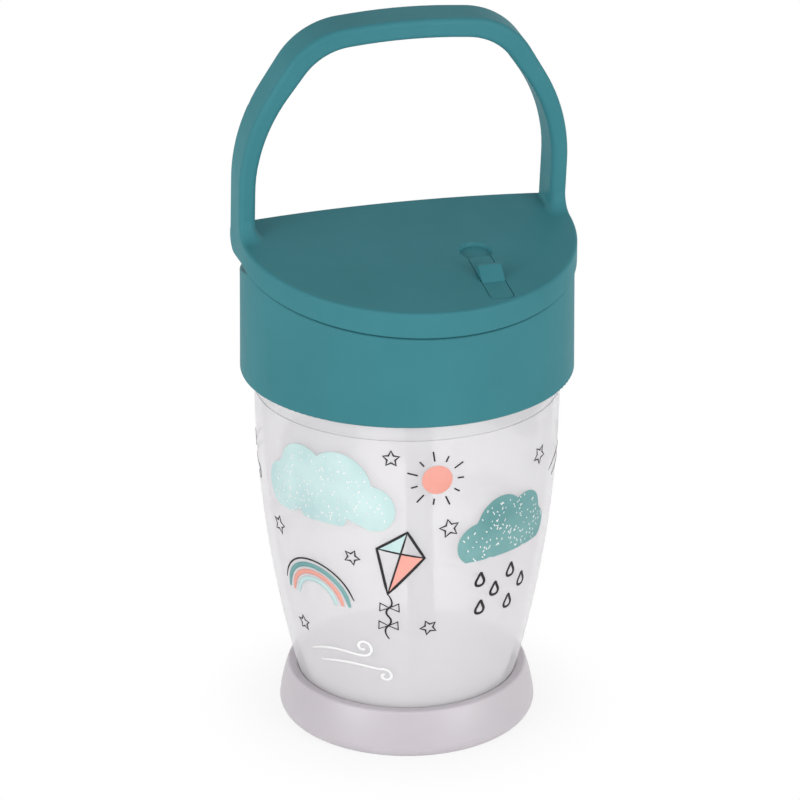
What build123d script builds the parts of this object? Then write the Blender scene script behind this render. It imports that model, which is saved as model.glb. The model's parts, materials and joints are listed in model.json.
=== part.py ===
from build123d import *
import os
from math import atan, cos, pi, radians, sin, sqrt, tan

# A straw cup for a toddler: a tapered cup in a soft foot ring, a screw-on lid with a folding
# silicone spout and a straw, and a flip-up hood that is one moulding with its carrying handle.
# Millimetres. Origin at the centre of the foot's underside, +Z up, -Y towards the drinker.

# A length past any part, an overlap that joins two solids into one, and a nearness for picking edges
FAR = 100.0
MERGE = 0.5
NEAR = 0.1

# Foot ring
FOOT_BASE_R = 32.4
FOOT_SIDE = [(33.8, 3.2), (32.9, 8.0), (31.6, 12.4)]
FOOT_BULGE = (33.45, 1.1)
FOOT_TOP_EDGE_R = 0.7
FOOT_RECESS_R = 24.0
FOOT_RECESS_DEPTH = 1.0
FOOT_CREASE_WIDTH = 0.3
FOOT_CREASE_DEPTH = 0.8

# Cup
CUP_BOTTOM_Z = 3.6
CUP_BOTTOM_R = 24.5
CUP_HEEL_R = 27.4
CUP_HEEL_Z = 7.2
CUP_WALL = [(29.0, 12.4), (31.2, 21.0), (34.1, 35.0), (36.6, 50.5), (38.3, 66.0), (39.45, 91.8)]
CUP_THICKNESS = 1.8
CUP_FLOOR = 2.4
NECK_R = 39.0
NECK_BORE_R = 37.2
CUP_RIM_Z = 105.5
CUP_RIM_R = 0.6

# Lid collar
COLLAR_Z = 96.7
COLLAR_BASE_R = 43.0
COLLAR_TOP_R = 42.55
COLLAR_TOP_Z = 130.0
COLLAR_EDGE_R = 0.7
RIM_EDGE_R = 0.5
COLLAR_BORE_R = 40.4
DECK_UNDER_Z = 106.9
DECK_TOP_Z = 108.9
WELL_R = 40.3
PLUG_R = 36.4
PLUG_BORE_R = 34.8
PLUG_Z = 102.4
ROOF_FRONT_Y = 12.0
ROOF_FALL = 0.25
ROOF_CROWN_R = 220.0
ROOF_THICKNESS = 2.0
STEP_BACK_Y = 10.2
STEP_WALL = 2.0
RIM_GAP = 0.5

# Hood, on a plane that falls towards the front
RIM_Z = 128.15
SLOPE = 10.2
HOOD_R = 43.2
HOOD_HEIGHT = 6.45
HOOD_PLATE = 1.7
HOOD_WALL = 2.2
HOOD_EDGE_R = 0.8
HOOD_RIM_R = 0.35
CROWN_R = 1600.0
CHEEK_Z = 127.9

# Handle
HANDLE_LEAN = 6.5
HANDLE_BACK_Y = 12.6
HANDLE_DEPTH = 10.4
HANDLE_RISE = 54.5
HANDLE_BEND_H = 25.0
HANDLE_BEND_IN_H = 24.4
HANDLE_SHOULDER_X = 26.5
HANDLE_SHOULDER_IN_X = 22.6
HANDLE_CROWN = 2.3
HANDLE_BEND_R = 48.0
HANDLE_SHOULDER_R = 20.0
HANDLE_TOP_R = 150.0
LEG_THICKNESS = 4.3
BAR_THICKNESS = 5.0
HANDLE_EDGE_R = 1.3
HANDLE_ROOT_R = 2.2

# Hinge of the hood: stub pins on the legs in lugs on the collar. Behind it the hood ends in a barrel
# that turns about the same axis
KNUCKLE_R = 4.5
KNUCKLE_EDGE_R = 0.8
PIN_R = 1.2
PIN_CLEARANCE = 0.05
LUG_R = 2.3
LUG_BACK = 1.6
LUG_GAP = 0.3
LUG_IN_X = 36.1
LUG_OUT_X = 38.6
LUG_FOOT_Z = 124.0
BARREL_MIDDLE_R = 5.45
BARREL_END_R = 4.3
BARREL_WALL = 1.5
BARREL_X = 35.7
BARREL_GAP = 0.4
CHEEK_FRONT_Y = -1.0

# Lock slider on the hood
SLOT_X = 13.4
SLOT_WIDTH = 6.3
SLOT_FRONT = -38.4
SLOT_BACK = -17.8
SLOT_CORNER_R = 1.5
SCOOP_Y = -14.8
SCOOP_DEPTH = 1.0
SCOOP_R = 4.3
SCOOP_SLANT = 20.0
SLIDER_GAP = 0.2
SLIDER_SINK = 0.1
SLIDER_PLAY = 0.15
SLIDER_TRAVEL = 6.0
TAIL_THICKNESS = 0.7
KNOB_OUTLINE = [(-30.3, -0.5), (-30.3, 0.0), (-26.0, 2.5), (-25.0, 2.3), (-24.5, -0.5)]
KNOB_EDGE_R = 0.4
FLANGE_WIDTH = 9.0
FLANGE_THICKNESS = 1.2
FLANGE_FRONT = -36.0
FLANGE_BACK = -15.5
RAIL_WIDTH = 1.1
RAIL_HEIGHT = 2.6
RAIL_BACK = -13.5
BOLT_WIDTH = 5.0
BOLT_BACK = -25.0
BOLT_THICKNESS = 1.6
BOLT_NOSE = [(-32.2, 1.6), (-33.6, 5.6), (-35.6, 5.6), (-36.2, 4.6), (-35.2, 3.6), (-35.2, 0.0)]
CATCH_WIDTH = 5.6
CATCH_HEIGHT = 2.4
CATCH_DEPTH = 0.8

# Spout, straw, seal and vent
STRAW_TOP_Y = -9.5
STRAW_FOOT_Y = -14.4
STRAW_FOOT_Z = 9.0
STRAW_R = 3.5
STRAW_BORE_R = 2.6
STRAW_TOP_GAP = 0.4
STRAW_EDGE_R = 0.3
NIPPLE_R = 2.5
NIPPLE_BORE_R = 1.6
NIPPLE_LENGTH = 10.0
BOSS_R = 4.0
BOSS_HEIGHT = 2.8
SPOUT_Z = 117.6
SPOUT_TILT = 3.0
BALL_R = 4.3
BALL_GAP = 0.3
SPOUT_LENGTH = 26.0
SPOUT_NECK_R = 3.7
SPOUT_PROFILE = [(4.1, 7.0), (4.4, 15.0), (4.9, 22.0), (4.7, 25.0)]
SPOUT_LIP = [(3.9, 25.8), (2.8, 26.0)]
SPOUT_BORE_START = 2.0
SPOUT_BORE_R = 1.8
SLEEVE_R = 6.4
SLEEVE_EDGE_R = 0.8
ROOT_TOP_Z = 113.2
SEAL_OUT_R = 39.4
SEAL_THICKNESS = 1.1
SEAL_GAP = 0.1
VENT_X = -15.0
VENT_Y = -18.0
VENT_CAP = [(4.2, 0.0), (3.8, 0.6), (1.4, 1.4)]
VENT_STEM_R = 1.4
VENT_GAP = 0.05
VENT_BULB_R = 2.1
VENT_BULB_LENGTH = 1.6

# The hood's sloping rim plane, the handle's back plane, and the hinge axis: its knuckles touch the
# handle's back plane and the level of the cheeks' lower edge
slope_angle = radians(SLOPE)
lean_angle = radians(HANDLE_LEAN)
rise = tan(slope_angle)
slope = Plane(origin=(0, 0, RIM_Z), x_dir=(1, 0, 0), z_dir=(0, -sin(slope_angle), cos(slope_angle)))
plate_back_z = RIM_Z + rise * HANDLE_BACK_Y + HOOD_HEIGHT / cos(slope_angle)
handle_plane = Plane(
    origin=(0, HANDLE_BACK_Y, plate_back_z),
    x_dir=(1, 0, 0),
    z_dir=(0, -cos(lean_angle), -sin(lean_angle)),
)
pivot_z = CHEEK_Z + KNUCKLE_R
pivot_y = HANDLE_BACK_Y + (plate_back_z - pivot_z) * tan(lean_angle) - KNUCKLE_R / cos(lean_angle)
hinge_frame = Plane(origin=(0, pivot_y, pivot_z), x_dir=(1, 0, 0), z_dir=slope.z_dir)
straw_axis = Vector(0, STRAW_FOOT_Y - STRAW_TOP_Y, STRAW_FOOT_Z - DECK_UNDER_Z).normalized()


def revolved(face):
    """A solid from a half section drawn on the XZ plane."""
    return revolve(face, axis=Axis.Z)


def tube(outer_r, inner_r, low_z, high_z):
    """An upright ring between two heights."""
    height = high_z - low_z
    ring = Circle(outer_r) - Circle(inner_r)
    return Pos(0, 0, low_z) * extrude(ring, height)


def block(frame, x_range, y_range, h_range):
    """A box between limits on a tilted frame."""
    sizes = [high - low for low, high in (x_range, y_range, h_range)]
    middle = [(low + high) / 2 for low, high in (x_range, y_range, h_range)]
    return frame * (Pos(*middle) * Box(*sizes))


def cup_section(inset):
    """Half section of the cup's outer form, or of its inside when inset by the wall."""
    floor_z = CUP_BOTTOM_Z + (CUP_FLOOR if inset else 0)
    neck_r = NECK_BORE_R if inset else NECK_R
    heel = (CUP_HEEL_R - inset, CUP_HEEL_Z + inset)
    wall = [(r - inset, z) for r, z in CUP_WALL]
    top_z = FAR + CUP_RIM_Z if inset else CUP_RIM_Z
    corner = (CUP_BOTTOM_R - inset, floor_z)
    edges = [
        Line((0, floor_z), corner),
        TangentArc(corner, heel, tangent=(1, 0)),
        Line(heel, wall[0]),
        Spline(*wall),
        Line(wall[-1], (neck_r, wall[-1][1])),
        Line((neck_r, wall[-1][1]), (neck_r, top_z)),
        Line((neck_r, top_z), (0, top_z)),
        Line((0, top_z), (0, floor_z)),
    ]
    return Plane.XZ * make_face(edges)


def cup_outer():
    return revolved(cup_section(0))


def cup_body():
    cup = cup_outer() - revolved(cup_section(CUP_THICKNESS))
    rim = cup.faces().sort_by(Axis.Z)[-1]
    return fillet(rim.edges(), CUP_RIM_R)


def foot_ring():
    """The soft ring that the cup's heel sits in. Its underside is a flat ring round a shallow recess."""
    base = (FOOT_BASE_R, 0)
    top = FOOT_SIDE[-1]
    edges = [
        Line((0, 0), base),
        ThreePointArc(base, FOOT_BULGE, FOOT_SIDE[0]),
        Spline(*FOOT_SIDE),
        Line(top, (0, top[1])),
        Line((0, top[1]), (0, 0)),
    ]
    ring = revolved(Plane.XZ * make_face(edges))
    ring = fillet(ring.edges().group_by(Axis.Z)[-1], FOOT_TOP_EDGE_R)
    ring -= Pos(0, 0, FOOT_RECESS_DEPTH / 2) * Cylinder(FOOT_RECESS_R, FOOT_RECESS_DEPTH)
    ring -= cup_outer()
    crease_r = CUP_WALL[0][0]
    return ring - tube(crease_r + FOOT_CREASE_WIDTH, crease_r - 1, top[1] - FOOT_CREASE_DEPTH, FAR)


def lid_collar():
    """The screw collar with its deck, front well, closed rear and hinge lugs, all one moulding."""
    wall = Polyline(
        (0, COLLAR_Z),
        (COLLAR_BASE_R, COLLAR_Z),
        (COLLAR_TOP_R, COLLAR_TOP_Z),
        (0, COLLAR_TOP_Z),
        close=True,
    )
    body = revolved(Plane.XZ * make_face(wall))
    body = fillet(body.edges().group_by(Axis.Z)[0], COLLAR_EDGE_R)
    body &= block(slope, (-FAR, FAR), (-FAR, FAR), (-FAR, -RIM_GAP * cos(slope_angle)))
    body &= under_roof(0)
    rims = body.edges().filter_by(GeomType.LINE, reverse=True)
    body = fillet(rims.filter_by(lambda e: e.center().Z > DECK_TOP_Z), RIM_EDGE_R)
    body -= Pos(0, 0, COLLAR_Z) * extrude(Circle(COLLAR_BORE_R), DECK_UNDER_Z - COLLAR_Z)
    body += tube(PLUG_R, PLUG_BORE_R, PLUG_Z, DECK_UNDER_Z)

    well = Pos(0, 0, DECK_TOP_Z) * extrude(Circle(WELL_R), FAR)
    well &= block(Plane.XY, (-FAR, FAR), (-FAR, STEP_BACK_Y - STEP_WALL), (0, 2 * FAR))
    for side in (-1, 1):
        x_range = sorted((side * LUG_IN_X, side * FAR))
        well -= block(Plane.XY, x_range, (CHEEK_FRONT_Y, FAR), (0, 2 * FAR))
    body -= well
    hollow = Pos(0, 0, COLLAR_Z) * extrude(Circle(PLUG_BORE_R), FAR)
    hollow &= block(Plane.XY, (-FAR, FAR), (STEP_BACK_Y, FAR), (0, 2 * FAR))
    hollow &= under_roof(ROOF_THICKNESS)
    body -= hollow
    body -= barrel(BARREL_GAP, LUG_IN_X)

    for side in (-1, 1):
        x_range = sorted((side * LUG_IN_X, side * LUG_OUT_X))
        y_range = (pivot_y - LUG_R, pivot_y + LUG_BACK)
        body += block(Plane.XY, x_range, y_range, (LUG_FOOT_Z, pivot_z))
        body += across(side * LUG_IN_X, side * LUG_OUT_X, LUG_R)
        body -= across(side * (LUG_IN_X - MERGE), side * (LUG_OUT_X + LUG_GAP), PIN_R + PIN_CLEARANCE)

    catch_y = -sqrt(WELL_R**2 - SLOT_X**2)
    catch_z = RIM_Z - RIM_GAP + rise * catch_y - CATCH_HEIGHT
    body -= Pos(SLOT_X, catch_y, catch_z) * Box(CATCH_WIDTH, 2 * CATCH_DEPTH, CATCH_HEIGHT)

    body += Pos(0, STRAW_TOP_Y, DECK_TOP_Z) * extrude(Circle(BOSS_R), BOSS_HEIGHT)
    nipple_plane = Plane(origin=(0, STRAW_TOP_Y, DECK_UNDER_Z), z_dir=straw_axis)
    body += nipple_plane * extrude(Circle(NIPPLE_R), NIPPLE_LENGTH)
    body -= nipple_plane * extrude(Circle(NIPPLE_BORE_R), NIPPLE_LENGTH + MERGE)
    deck = DECK_TOP_Z - DECK_UNDER_Z
    body -= Pos(0, STRAW_TOP_Y, DECK_UNDER_Z) * extrude(Circle(NIPPLE_BORE_R), deck + BOSS_HEIGHT + MERGE)
    vent_hole = extrude(Circle(VENT_STEM_R + VENT_GAP), deck + MERGE)
    return body - Pos(VENT_X, VENT_Y, DECK_UNDER_Z - MERGE) * vent_hole


def under_roof(depth):
    """All that lies under the collar's rear roof, which falls to the back and is crowned across."""
    fall = atan(ROOF_FALL)
    crest = CHEEK_Z - RIM_GAP - depth
    frame = Plane(origin=(0, ROOF_FRONT_Y, crest), x_dir=(1, 0, 0), z_dir=(0, sin(fall), cos(fall)))
    return frame * (Pos(0, 0, -ROOF_CROWN_R) * (Rot(90, 0, 0) * Cylinder(ROOF_CROWN_R, 2 * FAR)))


def over_slope(edge):
    """Height of an edge's middle over the hood's sloping plane."""
    return slope.to_local_coords(edge.center()).Z


def across(x_from, x_to, radius):
    """A cylinder along X on the hood's hinge axis."""
    low, high = sorted((x_from, x_to))
    return Pos(low, pivot_y, pivot_z) * (Rot(0, 90, 0) * extrude(Circle(radius), high - low))


def barrel(growth, half_length):
    """A body of revolution about the hinge axis that is stoutest in the middle."""
    bulge = BARREL_MIDDLE_R - BARREL_END_R
    arc_r = (BARREL_X**2 + bulge**2) / (2 * bulge) + growth
    middle_r = BARREL_MIDDLE_R + growth
    end_r = middle_r - arc_r + sqrt(arc_r**2 - half_length**2)
    ends = [(-half_length, end_r), (half_length, end_r)]
    edges = [
        Line((-half_length, 0), ends[0]),
        ThreePointArc(ends[0], (0, middle_r), ends[1]),
        Line(ends[1], (half_length, 0)),
        Line((half_length, 0), (-half_length, 0)),
    ]
    return Pos(0, pivot_y, pivot_z) * revolve(make_face(edges), axis=Axis.X)


def handle_outline(leg_x, bend_h, shoulder_x, top_h, inset):
    """The handle's outline on its own plane: upright legs, a bend inwards and a crowned bar."""
    right = [(leg_x, -FAR / 5), (leg_x, bend_h), (shoulder_x, top_h - HANDLE_CROWN)]
    left = [(-x, h) for x, h in reversed(right)]
    top = (0, top_h)
    radii = [HANDLE_BEND_R - inset, HANDLE_SHOULDER_R - inset, HANDLE_TOP_R]
    radii += [HANDLE_SHOULDER_R - inset, HANDLE_BEND_R - inset]
    path = FilletPolyline(*right, top, *left, radius=radii)
    return make_face([*path.edges(), Line(left[-1], right[0])])


def handle():
    """The two legs and the bar, with rounded edges and a curve at the front of each leg's foot."""
    leg_in_x = HOOD_R - LEG_THICKNESS
    bar_under_h = HANDLE_RISE - BAR_THICKNESS
    outline = handle_outline(HOOD_R, HANDLE_BEND_H, HANDLE_SHOULDER_X, HANDLE_RISE, 0)
    outline -= handle_outline(leg_in_x, HANDLE_BEND_IN_H, HANDLE_SHOULDER_IN_X, bar_under_h, LEG_THICKNESS)
    band = extrude(handle_plane * outline, HANDLE_DEPTH)
    depth_axis = Axis((0, 0, 0), handle_plane.z_dir)
    faces = band.faces().sort_by(depth_axis)
    rims = faces[0].edges() + faces[-1].edges()
    low_z = min(edge.center().Z for edge in rims)
    band = fillet([edge for edge in rims if edge.center().Z > low_z + 1], HANDLE_EDGE_R)
    leg_x = HOOD_R - LEG_THICKNESS / 2
    return band + Pos(-leg_x, 0, 0) * leg_foot() + Pos(leg_x, 0, 0) * leg_foot()


def leg_foot():
    """A short length of a leg's front that curves forward into the hood's plate, with round edges."""
    up = Vector(-sin(lean_angle), cos(lean_angle))
    forward = Vector(-cos(slope_angle), -sin(slope_angle))
    leg_back = Vector(HANDLE_BACK_Y, plate_back_z)
    front = leg_back + Vector(-cos(lean_angle), -sin(lean_angle)) * HANDLE_DEPTH
    corner = front - up * ((front - leg_back).cross(forward).Z / up.cross(forward).Z)
    tangent_length = HANDLE_ROOT_R / tan((pi / 2 + slope_angle - lean_angle) / 2)
    high = corner + up * tangent_length
    low = corner + forward * tangent_length
    inner = forward * -2 * HANDLE_EDGE_R
    outline = [
        Line(high + up * HANDLE_ROOT_R, high),
        TangentArc(high, low, tangent=-up),
        Line(low, low - up),
        Line(low - up, corner - up + inner),
        Line(corner - up + inner, high + up * HANDLE_ROOT_R + inner),
        Line(high + up * HANDLE_ROOT_R + inner, high + up * HANDLE_ROOT_R),
    ]
    foot = extrude(Plane.YZ * make_face(outline), LEG_THICKNESS / 2, both=True)
    sides = foot.edges().filter_by(lambda e: abs(e.center().X) > LEG_THICKNESS / 2 - NEAR)
    ends_high = [edge for edge in sides if ends_at(edge, high)]
    return fillet(ends_high, HANDLE_EDGE_R)


def ends_at(edge, side_point):
    """True for an edge with an end at a place that is given as seen from the side."""
    ends = [Vector(end.Y, end.Z) for end in (edge @ 0, edge @ 1)]
    return min((end - side_point).length for end in ends) < NEAR


def half_moon(inset, back_y):
    """Half-moon outline: a half circle in front and straight sides back to the hinge."""
    radius = HOOD_R - inset
    outline = Circle(radius) + Pos(0, radius / 2) * Rectangle(2 * radius, radius)
    return outline & Pos(0, back_y - FAR / 2) * Rectangle(FAR, FAR)


def hood_cover():
    """The cover without its handle: a crowned plate with a skirt, and the barrel behind."""
    cover = extrude(half_moon(0, HANDLE_BACK_Y), 2 * FAR)
    crown = slope * (Pos(0, 0, HOOD_HEIGHT - CROWN_R) * (Rot(90, 0, 0) * Cylinder(CROWN_R, 2 * FAR)))
    cover &= crown
    cover &= block(slope, (-FAR, FAR), (-FAR, FAR), (0, HOOD_HEIGHT + MERGE))
    rims = cover.edges().filter_by(lambda e: e.center().Y < HANDLE_BACK_Y - MERGE)
    cover = fillet(rims.filter_by(lambda e: over_slope(e) > HOOD_HEIGHT - MERGE), HOOD_EDGE_R)
    rims = cover.edges().filter_by(lambda e: e.center().Y < HANDLE_BACK_Y - MERGE)
    cover = fillet(rims.filter_by(lambda e: over_slope(e) < HOOD_RIM_R / 2), HOOD_RIM_R)
    in_front = block(hinge_frame, (-FAR, FAR), (-2 * FAR, 0), (-FAR, FAR))
    cover &= in_front + barrel(0, HOOD_R)
    inside = extrude(half_moon(HOOD_WALL, 2 * HANDLE_BACK_Y), 2 * FAR)
    cover -= inside & block(slope, (-FAR, FAR), (-FAR, FAR), (-1, HOOD_HEIGHT - HOOD_PLATE))
    shell = barrel(0, BARREL_X) - barrel(-BARREL_WALL, FAR / 2)
    behind = block(hinge_frame, (-FAR, FAR), (0, FAR), (-FAR, HOOD_HEIGHT))
    return cover + (shell & behind & crown)


def cheek(side):
    """The lower end of a leg: a knuckle round the hinge axis, and the skirt's level edge in front."""
    x_range = sorted((side * (HOOD_R - LEG_THICKNESS), side * HOOD_R))
    front_y = (CHEEK_Z - RIM_Z) / rise
    solid = across(*x_range, KNUCKLE_R)
    solid += block(Plane.XY, x_range, (front_y, pivot_y), (CHEEK_Z, pivot_z))
    outer = solid.edges().filter_by(lambda e: side * e.center().X > HOOD_R - NEAR)
    low = outer.filter_by(lambda e: e.geom_type != GeomType.LINE or e.center().Z < CHEEK_Z + NEAR)
    return fillet(low, KNUCKLE_EDGE_R)


def flip_hood():
    """The half-moon cover and the handle as one moulding, with pins, rails and the slider's slot."""
    above_rim = block(slope, (-FAR, FAR), (-FAR, FAR), (0, 2 * FAR))
    hood = hood_cover() + (handle() & above_rim)

    leg_in_x = HOOD_R - LEG_THICKNESS
    knuckle_frame = Plane(origin=(0, pivot_y, pivot_z), x_dir=(1, 0, 0), z_dir=handle_plane.y_dir)
    for side in (-1, 1):
        x_range = sorted((side * leg_in_x, side * (HOOD_R + MERGE)))
        hood -= block(knuckle_frame, x_range, (0, 2 * KNUCKLE_R), (-2 * KNUCKLE_R, 0))
        hood += cheek(side)
        hood -= across(side * (LUG_IN_X - LUG_GAP), side * leg_in_x, LUG_R + LUG_GAP)
        hood += across(side * (LUG_IN_X - LUG_GAP), side * leg_in_x, PIN_R)

    under = HOOD_HEIGHT - HOOD_PLATE
    for side in (-1, 1):
        inner_x = SLOT_X + side * (FLANGE_WIDTH / 2 + SLIDER_GAP)
        x_range = sorted((inner_x, inner_x + side * RAIL_WIDTH))
        hood += block(slope, x_range, (FLANGE_FRONT, RAIL_BACK), (under - RAIL_HEIGHT, under + MERGE))

    slot = Rectangle(SLOT_WIDTH, SLOT_BACK - SLOT_FRONT)
    slot = extrude(fillet(slot.vertices(), SLOT_CORNER_R), HOOD_HEIGHT)
    hood -= slope * (Pos(SLOT_X, (SLOT_FRONT + SLOT_BACK) / 2, under - MERGE) * slot)
    scoop = extrude(Circle(SCOOP_R), -SCOOP_DEPTH, taper=SCOOP_SLANT)
    hood -= slope * (Pos(SLOT_X, SCOOP_Y, HOOD_HEIGHT) * scoop)
    x_range = (SLOT_X - SLOT_WIDTH / 2, SLOT_X + SLOT_WIDTH / 2)
    z_range = (HOOD_HEIGHT - SCOOP_DEPTH, HOOD_HEIGHT + MERGE)
    return hood - block(slope, x_range, (SLOT_BACK - SLOT_CORNER_R, SCOOP_Y), z_range)


def tongue(back_y, under):
    """A flat tongue that lies flush in the slot, from the slot's front end to a given back end."""
    front_y = SLOT_FRONT + SLIDER_GAP
    outline = Rectangle(SLOT_WIDTH - 2 * SLIDER_GAP, back_y - front_y)
    outline = fillet(outline.vertices(), SLOT_CORNER_R - SLIDER_GAP)
    plate = extrude(outline, HOOD_HEIGHT - SLIDER_SINK - under)
    return slope * (Pos(SLOT_X, (front_y + back_y) / 2, under) * plate)


def lock_slider():
    """The thumb piece: a tongue with a thin tail over the slot, a wedge knob, and a flange below."""
    half = SLOT_WIDTH / 2 - SLIDER_GAP
    under = HOOD_HEIGHT - HOOD_PLATE - SLIDER_PLAY
    slider = tongue(SLOT_BACK - SLIDER_TRAVEL - SLIDER_GAP, under)
    slider += tongue(SLOT_BACK + SLIDER_GAP, HOOD_HEIGHT - SLIDER_SINK - TAIL_THICKNESS)
    knob = Polyline(*[(y, HOOD_HEIGHT + h) for y, h in KNOB_OUTLINE], close=True)
    knob = extrude(Plane.YZ * make_face(knob), half, both=True)
    knob = fillet(knob.edges().filter_by(Axis.X).group_by(Axis.Z)[-1], KNOB_EDGE_R)
    x_range = (SLOT_X - FLANGE_WIDTH / 2, SLOT_X + FLANGE_WIDTH / 2)
    flange = block(slope, x_range, (FLANGE_FRONT, FLANGE_BACK), (under - FLANGE_THICKNESS, under))
    return slider + slope * (Pos(SLOT_X, 0, 0) * knob) + flange


def latch_bolt():
    """The bolt clipped under the slider, with a nose that points at the catch in the collar."""
    top = HOOD_HEIGHT - HOOD_PLATE - SLIDER_PLAY - FLANGE_THICKNESS
    outline = [(BOLT_BACK, 0), (BOLT_BACK, BOLT_THICKNESS), *BOLT_NOSE]
    outline = Polyline(*[(y, top - drop) for y, drop in outline], close=True)
    bolt = extrude(Plane.YZ * make_face(outline), BOLT_WIDTH / 2, both=True)
    return slope * (Pos(SLOT_X, 0, 0) * bolt)


def spout_root():
    """The silicone sleeve over the deck's boss, with a cupped top that the spout folds in."""
    sleeve = tube(SLEEVE_R, BOSS_R, DECK_TOP_Z, DECK_TOP_Z + BOSS_HEIGHT)
    neck_z = DECK_TOP_Z + BOSS_HEIGHT
    neck = tube(SLEEVE_R, SPOUT_BORE_R, neck_z, ROOT_TOP_Z)
    root = Pos(0, STRAW_TOP_Y, 0) * (sleeve + neck)
    root = fillet(root.edges().group_by(Axis.Z)[0].sort_by(SortBy.LENGTH)[-1], SLEEVE_EDGE_R)
    return root - Pos(0, STRAW_TOP_Y, SPOUT_Z) * Sphere(BALL_R + BALL_GAP)


def spout_tip():
    """The silicone mouthpiece, folded forward in the well. It swells towards the lip."""
    start = (SPOUT_NECK_R, 0)
    edges = [
        Line((0, 0), start),
        Line(start, SPOUT_PROFILE[0]),
        Spline(*SPOUT_PROFILE),
        ThreePointArc(SPOUT_PROFILE[-1], *SPOUT_LIP),
        Line(SPOUT_LIP[-1], (0, SPOUT_LENGTH)),
        Line((0, SPOUT_LENGTH), (0, 0)),
    ]
    tip = revolved(Plane.XZ * make_face(edges)) + Sphere(BALL_R)
    tip -= Pos(0, 0, SPOUT_BORE_START) * extrude(Circle(SPOUT_BORE_R), SPOUT_LENGTH)
    tilt = radians(SPOUT_TILT)
    frame = Plane(origin=(0, STRAW_TOP_Y, SPOUT_Z), x_dir=(1, 0, 0), z_dir=(0, -cos(tilt), sin(tilt)))
    return frame * tip


def straw_tube():
    """The drinking straw. It leans a little towards the front and ends just above the cup's floor."""
    top = Vector(0, STRAW_TOP_Y, DECK_UNDER_Z) + straw_axis * STRAW_TOP_GAP
    length = (STRAW_FOOT_Z - top.Z) / straw_axis.Z
    straw = extrude(Circle(STRAW_R) - Circle(STRAW_BORE_R), length)
    straw = fillet(straw.edges().group_by(Axis.Z)[-1], STRAW_EDGE_R)
    return Plane(origin=top, z_dir=straw_axis) * straw


def lid_gasket():
    """The flat silicone ring between the cup's rim and the deck, round the plug."""
    low_z = CUP_RIM_Z + SEAL_GAP
    return tube(SEAL_OUT_R, PLUG_R + SEAL_GAP, low_z, low_z + SEAL_THICKNESS)


def vent_valve():
    """A silicone umbrella vent through the deck, with a bulb that keeps it in."""
    cap = Polyline((0, 0), *VENT_CAP, (0, VENT_CAP[-1][1]), close=True)
    cap = revolved(Plane.XZ * make_face(cap))
    thickness = DECK_TOP_Z - DECK_UNDER_Z
    stem = Pos(0, 0, -thickness) * extrude(Circle(VENT_STEM_R), thickness)
    bulb = Pos(0, 0, -thickness - VENT_BULB_LENGTH) * extrude(Circle(VENT_BULB_R), VENT_BULB_LENGTH)
    return Pos(VENT_X, VENT_Y, DECK_TOP_Z) * (cap + stem + bulb)


PARTS = {
    "cup_body": cup_body,
    "foot_ring": foot_ring,
    "lid_collar": lid_collar,
    "lid_gasket": lid_gasket,
    "vent_valve": vent_valve,
    "straw_tube": straw_tube,
    "spout_root": spout_root,
    "spout_tip": spout_tip,
    "flip_hood": flip_hood,
    "lock_slider": lock_slider,
    "latch_bolt": latch_bolt,
}

os.makedirs("parts", exist_ok=True)
for name, make in PARTS.items():
    part = make()
    export_step(part, f"parts/{name}.step")
    box = part.bounding_box()
    print(name, round(part.volume), "mm3", [round(v, 1) for v in (*box.min, *box.max)])
print("hinge axis at y", round(pivot_y, 3), "z", round(pivot_z, 3))
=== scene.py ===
# %% [markdown]
# A toddler's straw cup. The solid model comes in as a fixed frame: its parts already have their real
# shape, size and place. This script gives them their finishes, adds the soft spout, the curved roots of
# the handle, the screw threads and the printed pattern, and lights and frames it all like a catalogue
# picture.

# %% Load the frame
import bpy
import json
import math
import random
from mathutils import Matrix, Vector


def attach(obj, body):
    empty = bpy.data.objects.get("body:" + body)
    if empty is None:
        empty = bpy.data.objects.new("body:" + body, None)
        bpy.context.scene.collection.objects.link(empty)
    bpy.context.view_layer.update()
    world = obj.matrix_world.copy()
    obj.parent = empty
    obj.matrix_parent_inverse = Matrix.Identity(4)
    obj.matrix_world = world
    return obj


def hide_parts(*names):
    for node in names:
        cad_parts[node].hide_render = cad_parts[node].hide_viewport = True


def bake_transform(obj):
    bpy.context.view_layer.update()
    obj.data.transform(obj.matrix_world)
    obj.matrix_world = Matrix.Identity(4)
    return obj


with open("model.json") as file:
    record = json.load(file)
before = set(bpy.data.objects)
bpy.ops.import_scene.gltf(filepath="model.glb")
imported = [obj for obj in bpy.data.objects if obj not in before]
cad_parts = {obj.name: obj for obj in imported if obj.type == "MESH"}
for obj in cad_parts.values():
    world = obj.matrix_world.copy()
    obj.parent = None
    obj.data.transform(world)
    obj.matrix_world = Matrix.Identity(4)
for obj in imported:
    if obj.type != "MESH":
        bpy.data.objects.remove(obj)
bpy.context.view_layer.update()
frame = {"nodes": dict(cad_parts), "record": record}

MM = 0.001
TURN = 2 * math.pi
bodies = frame["record"]["behaviour"]["bodies"]
for body, members in bodies.items():
    print(body, "holds", ", ".join(members))

# %% [markdown]
# The camera comes first, because every later choice is judged through it. A catalogue picture is taken
# from far away with a long lens, so that upright edges stay nearly upright. It looks down on the cup,
# from a little to its left. The view transform Standard shows colours about as they are written.

# %% Camera
CAMERA_TURN = math.radians(-16.09)
CAMERA_PITCH = math.radians(22.56)
CAMERA_DISTANCE = 0.942
CAMERA_TARGET = Vector((-1.74, 0.50, 86.6)) * MM
SENSOR_WIDTH = 36.0
LENS = 163.9


def toward_camera(turn, pitch):
    """The direction from the object to a viewer at that turn and height angle."""
    flat = math.cos(pitch)
    return Vector((math.sin(turn) * flat, -math.cos(turn) * flat, math.sin(pitch)))


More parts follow.
